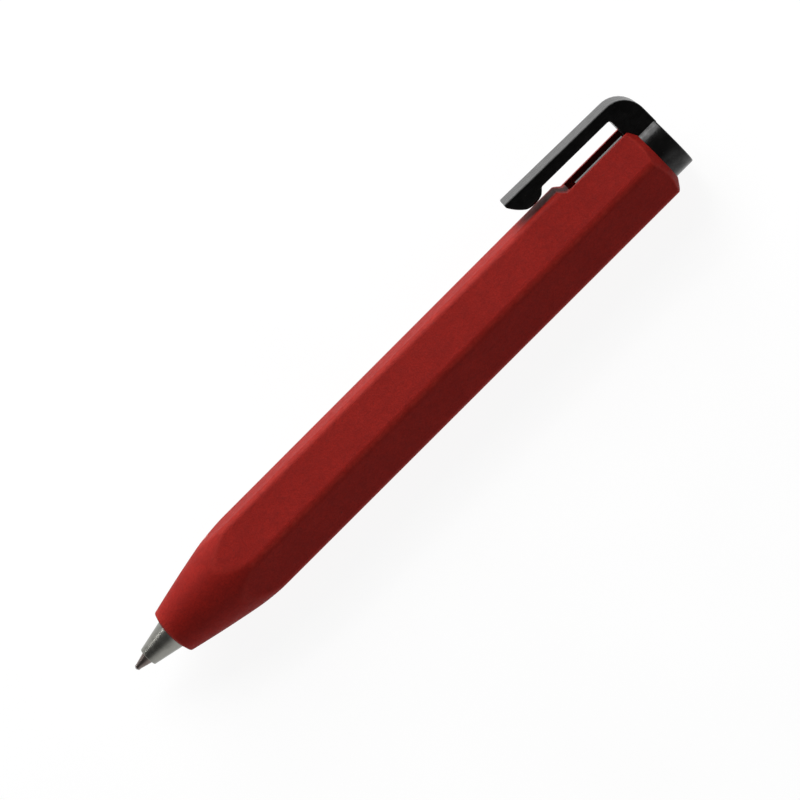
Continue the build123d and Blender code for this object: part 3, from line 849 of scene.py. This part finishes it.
# ---- The object ----
nickel = turned_metal("nickel_silver", (0.16, 0.13, 0.12, 1), (0.24, 0.2, 0.185, 1), 0.27)
REPLACED = (
    (make_barrel(), "barrel", "barrel", "barrel_plastic", barrel_plastic()),
    (make_nose_cone(), "nose_cone", "barrel", "nose_metal",
     turned_metal("nose_metal", (0.21, 0.207, 0.188, 1), (0.29, 0.286, 0.262, 1), 0.3)),
    (make_button(), "button", "button", "black_gloss", black_gloss("black_button", 0.32, 0.19)),
    (make_clip(), "clip", "clip", "black_gloss", black_gloss("black_clip", 0.18, 0.25)),
    (make_refill_tip(), "refill_tip", "refill", "refill_metal", nickel),
)
for piece, node, body, slot, material in REPLACED:
    dress(piece, material)
    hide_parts(node)
    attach(piece, body)

spring = make_spring()
dress(spring, spring_wire())
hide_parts("return_spring")
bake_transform(spring)

KEPT = {
    "writing_ball": turned_metal("ball_carbide", (0.32, 0.32, 0.33, 1), (0.5, 0.5, 0.51, 1), 0.2, 0.0001),
    "nose_bush": turned_metal("brass", (0.52, 0.34, 0.12, 1), (0.72, 0.5, 0.2, 1), 0.3),
    "refill_tube": turned_metal("tube_metal", (0.42, 0.41, 0.39, 1), (0.6, 0.59, 0.57, 1), 0.25, 0.0004),
    "cam_sleeve": moulded("acetal", (0.66, 0.65, 0.6, 1), (0.76, 0.75, 0.71, 1), 0.45),
    "plunger": moulded("acetal_plunger", (0.66, 0.65, 0.6, 1), (0.76, 0.75, 0.71, 1), 0.42),
    "cam_rotor": moulded("acetal_grey", (0.24, 0.25, 0.26, 1), (0.32, 0.33, 0.34, 1), 0.45),
    "ink_column": fluid("ink", (0.004, 0.004, 0.012, 1), (0.01, 0.011, 0.03, 1), 0.12),
    "grease_follower": fluid("grease", (0.55, 0.5, 0.33, 1), (0.66, 0.61, 0.44, 1), 0.2),
}
for node, material in KEPT.items():
    dress(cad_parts[node], material)


# ---- Floor, light and camera ----
FLOOR_HALF = 4.0
LAMP_DISTANCE = 0.6
# Name, place along the pen in metres, angle above the floor on the clip's side, size along and across in
# metres, and strength. A lamp's strength is the radiance of a white surface that faces it.
LAMPS = (
    ("key", 0.1, radians(33), (0.45, 0.7), 1.55),
    ("fill", 0.2, radians(10), (0.3, 0.12), 0.4),
    ("strip", 0.05, radians(45), (1.0, 0.05), 0.4),
)
SKY_HORIZON = 0.78
SKY_OVERHEAD = 0.1
SKY_HEIGHTS = (0.2, 0.75)  # sines of the heights at which the surround starts and stops getting dimmer
FLOOR_GLOW = 0.91
CAMERA_DISTANCE = 0.5
CAMERA_ANGLE = radians(70.5)  # above the floor, round the pen
CAMERA_LEAN = radians(4.0)  # towards the button
PEN_SLOPE = radians(45.0)  # of the pen in the picture
CAMERA_LENS = 162.1
LOOK_AT = place(PEN_LENGTH / 2 + 0.34, 0.46, 0.17)


def make_floor():
    """A plain pale floor that glows a little, as a light table does, so that shadows on it stay faint."""
    mesh_data = bmesh.new()
    bmesh.ops.create_grid(mesh_data, x_segments=2, y_segments=2, size=FLOOR_HALF)
    for vertex in mesh_data.verts:
        vertex.co.z = CAD_LOW.z
    floor = new_piece("floor", mesh_data)
    f = Finish("floor", Roughness=0.9)
    tone = f.remap(f.noise(0.05, 2.0), 0.3, 0.7)
    colour = f.mix(tone, (0.075, 0.075, 0.075, 1), (0.09, 0.09, 0.09, 1))
    f.shader.inputs["Specular IOR Level"].default_value = 0.0
    f.shader.inputs["Emission Color"].default_value = (1, 1, 1, 1)
    f.shader.inputs["Emission Strength"].default_value = FLOOR_GLOW
    dress(floor, f.finish(colour))


def make_lamp(name, along, angle, size, strength):
    """A soft box beside the pen, on the clip's side."""
    data = bpy.data.lights.new(name, "AREA")
    data.shape = "RECTANGLE"
    data.size, data.size_y = size
    data.energy = strength * (pi * LAMP_DISTANCE) ** 2
    lamp = bpy.data.objects.new(name, data)
    bpy.context.scene.collection.objects.link(lamp)
    middle = place(PEN_LENGTH / 2, 0, 0)
    away = Vector((along, LAMP_DISTANCE * cos(angle), LAMP_DISTANCE * sin(angle)))
    lamp.location = middle + away
    lamp.rotation_euler = away.to_track_quat("Z", "Y").to_euler()


def make_sky():
    """A plain grey surround: dim overhead and paler towards the horizon."""
    world = bpy.data.worlds.new("surround")
    bpy.context.scene.world = world
    world.use_nodes = True
    tree = world.node_tree
    background = tree.nodes["Background"]
    background.inputs["Color"].default_value = (1, 1, 1, 1)
    place_node = tree.nodes.new("ShaderNodeTexCoord")
    split = tree.nodes.new("ShaderNodeSeparateXYZ")
    ramp = tree.nodes.new("ShaderNodeMapRange")
    ramp.interpolation_type = "SMOOTHSTEP"
    tree.links.new(place_node.outputs["Generated"], split.inputs[0])
    tree.links.new(split.outputs["Z"], ramp.inputs["Value"])
    set_range(ramp, *SKY_HEIGHTS, SKY_HORIZON, SKY_OVERHEAD)
    tree.links.new(ramp.outputs["Result"], background.inputs["Strength"])


def make_camera():
    """A long lens above the pen, so that the pen runs up to the right."""
    data = bpy.data.cameras.new("camera")
    data.lens = CAMERA_LENS
    data.clip_start = 0.01
    camera = bpy.data.objects.new("camera", data)
    bpy.context.scene.collection.objects.link(camera)
    back = Vector((
        sin(CAMERA_LEAN),
        -cos(CAMERA_LEAN) * cos(CAMERA_ANGLE),
        cos(CAMERA_LEAN) * sin(CAMERA_ANGLE),
    ))
    along = (Vector((1, 0, 0)) - back * back.x).normalized()
    above = back.cross(along)
    right = along * cos(PEN_SLOPE) - above * sin(PEN_SLOPE)
    up = back.cross(right)
    camera.matrix_world = Matrix.Translation(LOOK_AT + back * CAMERA_DISTANCE) @ Matrix(
        (right, up, back)).transposed().to_4x4()
    bpy.context.scene.camera = camera


make_floor()
for lamp in LAMPS:
    make_lamp(*lamp)
make_sky()
make_camera()
bpy.context.scene.view_settings.view_transform = "Standard"
